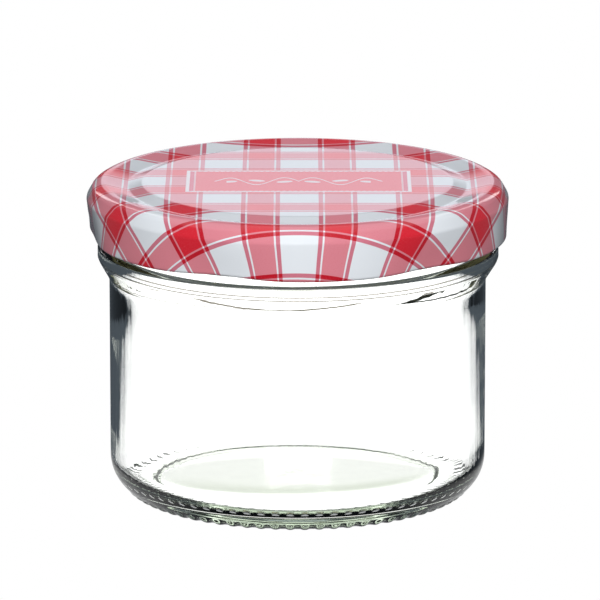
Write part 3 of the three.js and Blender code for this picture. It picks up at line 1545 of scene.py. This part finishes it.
@dataclass
class Studio:
    """A plain pale floor, an even surround and one large softbox above the camera.

    Lengths are in metres. Each pair holds where a change starts and where it ends.

    Attributes:
        floor_rings: rings of the floor's mesh, each a little wider than the last.
        floor_columns: points of each ring.
        floor_drop: how far the floor lies below the jar.
        card_from: distances where mirrors stop showing the lit table and show the dark card.
        pale_sides: distances to the side where the card grows paler.
        pale_end: distances from the middle where that ends.
        pale_share: how much paler it grows.
        shade_end: distances where the shade below the jar ends.
        shade_rim: distances where its darker rim starts.
        shade_near: distances towards the camera where that rim starts.
        shade_shift: how the shade's middle is moved.
        shade_squash: how much the shade is squashed along each axis.
        sides_of_floor: distances to the side where the floor's guided light ends.
        end_of_floor: distances from the middle where it ends.
        sides_of_room: the same for directions to the side of the surround.
        backdrop: the bright backdrop, low over the horizon behind the jar.
        glint: the edge of the softbox, over the camera.
        window: the two narrow windows behind the jar.
        base: the part of the surround that the push-up mirrors.
        base_lift: how high in it the push-up's near side looks.
        ceiling_lift: how high the ceiling starts.
        bounced_lift: how high the light on matt surfaces starts, and is full.
    """

    light: StudioLight = field(default_factory=StudioLight)
    floor_radius: float = 2.5
    floor_rings: int = 8
    floor_columns: int = 96
    floor_drop: float = 0.0003
    card_from: Span = (0.028, 0.036)
    pale_sides: Span = (0.018, 0.034)
    pale_end: Span = (0.045, 0.055)
    pale_share: float = 0.6
    shade_end: Span = (0.026, 0.031)
    shade_rim: Span = (0.016, 0.026)
    shade_near: Span = (0.0, 0.02)
    shade_shift: tuple[float, float, float] = (0.0, -0.008, 0.0)
    shade_squash: tuple[float, float, float] = (1.0, 1.66, 1.0)
    sides_of_floor: Span = (0.050, 0.075)
    end_of_floor: Span = (0.060, 0.090)
    sides_of_room: Span = (0.30, 0.50)
    backdrop: SkyPatch = SkyPatch((0.05, 0.13), (0.27, 0.36), (0.10, 0.14), (0.0, 0.1))
    glint: SkyPatch = SkyPatch(
        (0.40, 0.44), (0.46, 0.50), (0.14, 0.24), (0.3, 0.4), towards=-1.0
    )
    window: SkyPatch = SkyPatch(
        (0.16, 0.22), NOWHERE, (0.36, 0.40), (0.5, 0.6), inner=(0.30, 0.33)
    )
    base: SkyPatch = SkyPatch((0.02, 0.08), (0.50, 0.60), NOWHERE, (0.3, 0.4))
    base_lift: Span = (0.26, 0.42)
    ceiling_lift: Span = (0.6, 0.85)
    bounced_lift: Span = (0.25, 1.0)
    softbox_distance: float = 1.1
    softbox_elevation: float = 25.0
    softbox_aim: float = 0.06
    softbox_size: tuple[float, float] = (0.84, 0.58)
    softbox_radiance: float = 7.3

    def floor_light(self, bench: Bench) -> Value:
        """Gives the floor's light for each kind of ray.

        Args:
            bench: the floor's bench.

        Returns:
            The colour of the light.
        """
        light = self.light
        place = bench.place()
        away = bench.distance(place)
        right = abs(place.part(0))
        pale = right.rise(*self.pale_sides) * (1 - away.rise(*self.pale_end)) * self.pale_share
        mirrored = bench.mix(away.rise(*self.card_from) * (1 - pale), light.table, light.card)
        sockets = {"Vector": place, "Location": self.shade_shift, "Scale": self.shade_squash}
        shaded = bench.node("ShaderNodeMapping", None, sockets)
        apart = bench.distance(shaded)
        rim = apart.rise(*self.shade_rim) * (shaded.part(1) * -1).rise(*self.shade_near)
        shade = bench.mix(rim, light.shade, light.shade_edge)
        through = bench.mix(apart.rise(*self.shade_end), shade, light.through)
        facing = 1 - right.rise(*self.sides_of_floor)
        facing = facing * (1 - away.rise(*self.end_of_floor))
        return light.by_ray(bench, mirrored, through, light.bounced_side, facing, light.guided)

    def floor(self) -> bpy.types.Object:
        """Makes the floor: a disc of rings round the middle, each a little wider.

        Returns:
            The floor, left out of the part.
        """
        material, bench = new_bench("pale_floor")
        sockets = {"Color": self.floor_light(bench), "Strength": 1.0}
        glow = bench.node("ShaderNodeEmission", None, sockets)
        bench.node("ShaderNodeOutputMaterial", None, {"Surface": glow})
        rings = self.floor_radius * np.linspace(0, 1, self.floor_rings + 1)[1:, None] ** 2
        azimuth = np.linspace(0, TURN, self.floor_columns, endpoint=False)
        outline = np.stack(
            [rings * np.cos(azimuth), rings * np.sin(azimuth), 0 * rings * azimuth], axis=2
        )
        points = np.concatenate([[[0, 0, 0]], outline.reshape(-1, 3)]) - [0, 0, self.floor_drop]
        quads, fans = wrapped_faces(self.floor_rings, self.floor_columns)
        fan = turned_over(fans[: self.floor_columns])
        mesh = bpy.data.meshes.new("floor")
        mesh.from_pydata(points.tolist(), [], turned_over(quads).tolist() + fan.tolist())
        mesh.materials.append(material)
        made = linked("floor", mesh)
        return made

    def surround(self) -> bpy.types.World:
        """Makes the surround: mirrors show the backdrop as a patch low over a dark horizon.

        Returns:
            The world.
        """
        world = bpy.data.worlds.new("studio_surround")
        bpy.context.scene.world = world
        world.use_nodes = True
        world.node_tree.nodes.clear()
        bench = Bench(world.node_tree)
        light = self.light
        way = bench.node("ShaderNodeTexCoord", output="Generated")
        lift = way.part(2)
        mirrored = bench.mix(lift.rise(*self.ceiling_lift), light.card, light.ceiling)
        mirrored = bench.mix(self.backdrop.share(way), mirrored, light.backdrop)
        bright = self.glint.share(way).greater(self.window.share(way))
        mirrored = bench.mix(bright, mirrored, light.glint)
        bounced = bench.mix(lift.rise(*self.bounced_lift), light.bounced_side, light.bounced)
        facing = 1 - abs(way.part(0)).rise(*self.sides_of_room)
        base = bench.mix(lift.rise(*self.base_lift), light.base, light.base_edge)
        guided = bench.mix(self.base.share(way), light.guided, base)
        colour = light.by_ray(bench, mirrored, light.through, bounced, facing, guided)
        glow = bench.node("ShaderNodeBackground", None, {"Color": colour, "Strength": 1.0})
        bench.node("ShaderNodeOutputWorld", None, {"Surface": glow})
        return world

    def softbox(self) -> bpy.types.Object:
        """Makes the softbox, which faces the lid from above the camera.

        Returns:
            The lamp.
        """
        lamp = bpy.data.lights.new("softbox", "AREA")
        lamp.shape = "RECTANGLE"
        lamp.size, lamp.size_y = self.softbox_size
        lamp.energy = self.softbox_radiance * np.pi * lamp.size * lamp.size_y
        made = linked("softbox", lamp)
        rise = np.radians(self.softbox_elevation)
        made.location = (
            0,
            -self.softbox_distance * np.cos(rise),
            self.softbox_distance * np.sin(rise) + self.softbox_aim,
        )
        made.rotation_euler = (np.pi / 2 - rise, 0, 0)
        made.visible_glossy = False
        return made

    def build(self) -> list[bpy.types.ID]:
        """Makes the floor, the surround and the softbox."""
        return [self.floor(), self.surround(), self.softbox()]


@dataclass
class ProductCamera:
    """The long lens that looks down on the jar from the front.

    Attributes:
        distance: from the lens to the point that it looks at.
        pitch: degrees that it looks down by.
        aim: the point in the middle of the picture.
        lens: focal length in millimetres.
        sensor: width of the picture that the lens throws, in millimetres.
        clip: nearest and furthest distance that it shows.
    """

    distance: float = 1.3
    pitch: float = 14.03
    aim: tuple[float, float, float] = (0.49 * MM, 0.0, 39.43 * MM)
    lens: float = 382.7
    sensor: float = 36.0
    clip: tuple[float, float] = (0.05, 20.0)

    def build(self) -> bpy.types.Object:
        """Makes the camera and lets the scene use it.

        Returns:
            The camera.
        """
        data = bpy.data.cameras.new("product_camera")
        data.lens = self.lens
        data.sensor_width = self.sensor
        data.clip_start, data.clip_end = self.clip
        made = linked("product_camera", data)
        down = np.radians(self.pitch)
        back = np.array([0, -np.cos(down), np.sin(down)])
        made.location = np.array(self.aim) + self.distance * back
        made.rotation_euler = (np.pi / 2 - down, 0, 0)
        bpy.context.scene.camera = made
        bpy.context.scene.view_settings.view_transform = "Standard"
        return made


def main() -> None:
    """Builds the studio, the camera and the jar, and reports each piece."""
    logging.basicConfig(level=logging.INFO, format="%(name)s: %(message)s", force=True)
    ProductCamera().build()
    Studio().build()
    for piece in [GlassJar().build(), *TwistLid().build()]:
        LOG.info("%s has %d faces", piece.name, len(piece.data.polygons))


if __name__ == "__main__":
    main()
